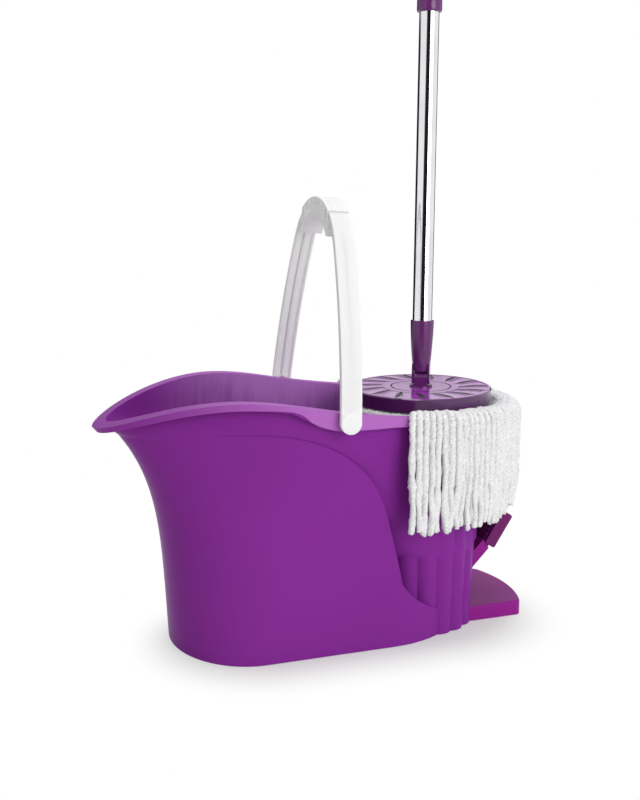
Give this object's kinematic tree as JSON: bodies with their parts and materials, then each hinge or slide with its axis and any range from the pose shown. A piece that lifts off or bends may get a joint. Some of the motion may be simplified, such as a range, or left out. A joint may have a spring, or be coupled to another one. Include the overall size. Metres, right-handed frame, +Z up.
{
  "type": "spin mop bucket",
  "caption": "Oval mop bucket with a pouring spout, bail, foot pedal and geared spin basket, its string mop standing in the wringer on a telescoping pole.",
  "frame": {"origin": "on the floor under the middle of the whole object", "axes": "+X from the spout to the pedal, +Y across the bucket, +Z up"},
  "size_m": [0.4906, 0.246, 0.9516],
  "materials": {
    "bucket_purple": "gloss",
    "plate_magenta": "gloss",
    "dark_purple": "gloss",
    "handle_white": "satin",
    "acetal": "satin",
    "steel": "drawn",
    "chrome": "polished",
    "yarn": "twisted strands",
    "seal_rubber": "matte"
  },
  "bodies": {
    "bucket": {"bucket_shell": "bucket_purple", "foot_plate": "plate_magenta", "chassis_screws": "steel", "pedal_pin": "steel", "step_axle": "steel", "shaft_bush": "acetal", "shaft_seal": "seal_rubber", "return_spring": "steel"},
    "bail": {"bail_handle": "handle_white", "bail_grip": "handle_white"},
    "pedal": {"pedal_arm": "plate_magenta", "pedal_tread": "dark_purple"},
    "rack": {"drive_rack": "acetal"},
    "step": {"step_gear": "acetal"},
    "drive": {"drive_shaft": "steel", "drive_pinion": "steel", "clutch_cage": "acetal", "clutch_rollers": "steel", "basket_cap": "dark_purple"},
    "basket": {"spin_basket": "bucket_purple"},
    "mop_head": {"mop_plate": "dark_purple", "yarn_ring": "handle_white", "mop_yarn": "yarn"},
    "knuckle": {"knuckle_lug": "dark_purple", "swivel_washer": "steel", "swivel_screw": "steel", "knuckle_pin": "steel"},
    "pole_lower": {"pole_fork": "dark_purple", "lower_tube": "chrome"},
    "lock": {"lock_collar": "dark_purple"},
    "pole_upper": {"upper_tube": "chrome", "tube_plug": "acetal", "hand_grip": "dark_purple"}
  },
  "joints": [
    {"name": "bail_swing", "type": "hinge", "parent": "bucket", "child": "bail", "pos_m": [-0.0025, 0, 0.258], "axis": [0, -1, 0], "range_deg": [-15, 40]},
    {"name": "pedal_press", "type": "hinge", "parent": "bucket", "child": "pedal", "pos_m": [0.15, 0, 0.044], "axis": [0, 1, 0], "range_deg": [0, 40], "stiffness_Nm_per_rad": 0.8, "springref_deg": -34.38, "deforming": ["return_spring"]},
    {"name": "rack_slide", "type": "slide", "parent": "bucket", "child": "rack", "axis": [1, 0, 0], "range_m": [-0.0185, 0]},
    {"name": "step_spin", "type": "hinge", "parent": "bucket", "child": "step", "pos_m": [0.10117, -0.003, 0], "axis": [0, 0, 1], "range_deg": [-150, 0]},
    {"name": "shaft_spin", "type": "hinge", "parent": "bucket", "child": "drive", "pos_m": [0.128, 0, 0], "axis": [0, 0, 1], "range_deg": [0, 430]},
    {"name": "basket_freewheel", "type": "hinge", "parent": "drive", "child": "basket", "pos_m": [0.128, 0, 0.128], "axis": [0, 0, 1], "continuous": true},
    {"name": "mop_lift", "type": "slide", "parent": "bucket", "child": "mop_head", "axis": [0, 0, 1], "range_m": [0, 0.165]},
    {"name": "head_swivel", "type": "hinge", "parent": "mop_head", "child": "knuckle", "pos_m": [0.128, 0, 0.26], "axis": [0, 0, 1], "continuous": true},
    {"name": "pole_tilt", "type": "hinge", "parent": "knuckle", "child": "pole_lower", "pos_m": [0.128, 0, 0.277], "axis": [0.866, -0.5, 0], "range_deg": [-75, 75]},
    {"name": "pole_extend", "type": "slide", "parent": "pole_lower", "child": "pole_upper", "axis": [0.0279, 0.0483, 0.9984], "range_m": [0, 0.28]},
    {"name": "lock_twist", "type": "hinge", "parent": "pole_lower", "child": "lock", "pos_m": [0.128, 0, 0.277], "axis": [0.0279, 0.0483, 0.9984], "range_deg": [0, 90]}
  ],
  "couplings": [
    {"joint": "rack_slide", "follows": "pedal_press", "m_per_rad": -0.026},
    {"joint": "step_spin", "follows": "pedal_press", "ratio": -3.7143},
    {"joint": "shaft_spin", "follows": "pedal_press", "ratio": 10.612}
  ]
}
